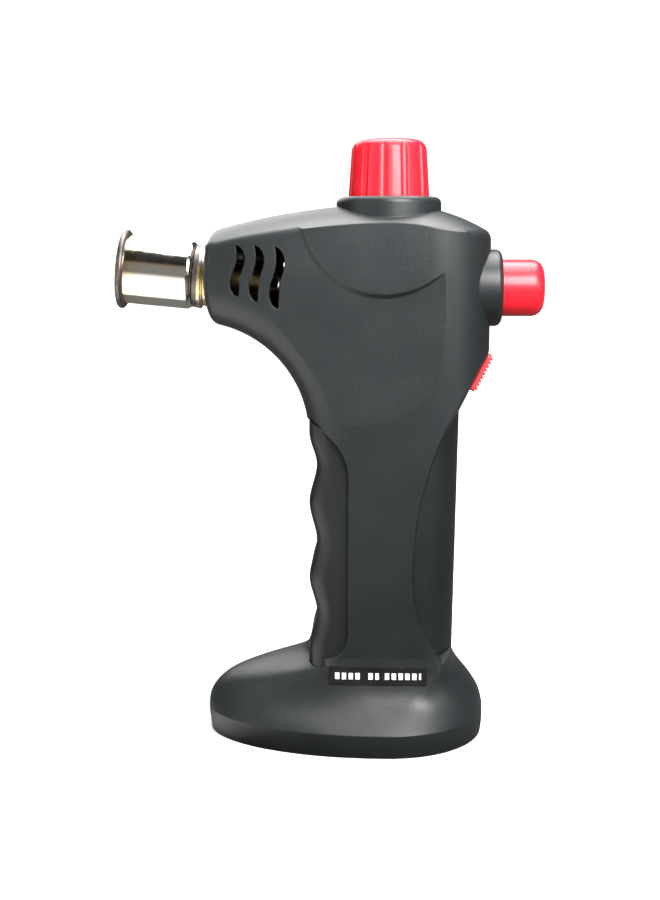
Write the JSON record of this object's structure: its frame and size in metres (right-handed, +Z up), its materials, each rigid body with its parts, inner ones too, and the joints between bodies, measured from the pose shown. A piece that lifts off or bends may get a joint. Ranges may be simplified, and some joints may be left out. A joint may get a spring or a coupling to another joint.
{
  "type": "butane torch",
  "caption": "Hand-held butane micro torch with a chrome burner cup, gas knob, piezo ignition button, lock slider and a fuel tank in its handle.",
  "frame": {"origin": "centre of the underside of the base, on the plane where the two halves of the housing meet", "axes": "+Z up along the handle, -X the way the flame leaves the burner cup, +Y to the right half of the housing (the side away from a viewer who has the burner on their left)"},
  "size_m": [0.1099, 0.053, 0.155],
  "materials": {
    "body_black": "satin, very fine texture",
    "tank_black": "satin",
    "inner_black": "matt moulded",
    "red_gloss": "glossy moulded",
    "red_slider": "satin moulded",
    "chrome": "polished",
    "heat_steel": "heat-darkened",
    "steel": "plain",
    "zinc_steel": "zinc plated",
    "brass": "turned",
    "copper": "drawn tube",
    "ceramic": "glazed ceramic",
    "seal_rubber": "moulded",
    "wick_felt": "felt",
    "lead_black": "silicone sleeve",
    "label_black": "glossy film"
  },
  "bodies": {
    "housing": {"shell_left": "body_black", "shell_right": "body_black", "shell_screws": "zinc_steel", "base_plate": "inner_black", "base_screws": "zinc_steel", "label_sticker": "label_black", "fuel_tank": "tank_black", "tank_seal": "seal_rubber", "tank_lid": "inner_black", "fuel_wick": "wick_felt", "refill_valve_body": "brass", "refill_valve_seal": "seal_rubber", "gas_valve_body": "brass", "needle_seal": "seal_rubber", "burner_tube": "brass", "injector": "brass", "nozzle_nut": "brass", "nozzle_washer": "heat_steel", "nozzle_cup": "chrome", "nozzle_rim": "heat_steel", "flame_holder": "steel", "electrode_insulator": "ceramic", "electrode": "steel", "gas_tube": "copper", "igniter_lead": "lead_black", "piezo_body": "inner_black", "lever_pin": "steel"},
    "knob": {"gas_knob": "red_gloss", "knob_spindle": "brass", "flow_needle": "steel"},
    "button": {"ignition_button": "red_gloss", "piezo_plunger": "inner_black", "button_spring": "steel"},
    "lever": {"valve_lever": "steel"},
    "outlet_stem": {"valve_stem": "brass", "valve_spring": "steel"},
    "slider": {"lock_slider": "red_slider", "slider_clip": "steel"},
    "refill_stem": {"refill_valve_stem": "brass", "refill_valve_spring": "steel"}
  },
  "joints": [
    {"name": "knob_turn", "type": "hinge", "parent": "housing", "child": "knob", "pos_m": [0.0109, 0, 0.145], "axis": [0, 0, 1], "range_deg": [0, 270]},
    {"name": "button_press", "type": "slide", "parent": "housing", "child": "button", "axis": [-1, 0, 0], "range_m": [0, 0.005], "stiffness_N_per_m": 2400, "springref_m": -0.0015, "deforming": ["button_spring"]},
    {"name": "lever_turn", "type": "hinge", "parent": "housing", "child": "lever", "pos_m": [0.0245, 0, 0.0935], "axis": [0, -1, 0], "range_deg": [0, 19]},
    {"name": "outlet_stem_slide", "type": "slide", "parent": "housing", "child": "outlet_stem", "axis": [-1, 0, 0], "range_m": [0, 0.00135], "deforming": ["valve_spring"]},
    {"name": "slider_slide", "type": "slide", "parent": "housing", "child": "slider", "axis": [-0.4472, 0, -0.8944], "range_m": [0, 0.0035]},
    {"name": "refill_stem_push", "type": "slide", "parent": "housing", "child": "refill_stem", "axis": [0, 0, 1], "range_m": [0, 0.002], "stiffness_N_per_m": 1200, "springref_m": -0.0015, "deforming": ["refill_valve_spring"]}
  ],
  "couplings": [
    {"joint": "lever_turn", "follows": "button_press", "rad_per_m": 59.6},
    {"joint": "outlet_stem_slide", "follows": "button_press", "ratio": 0.24}
  ]
}
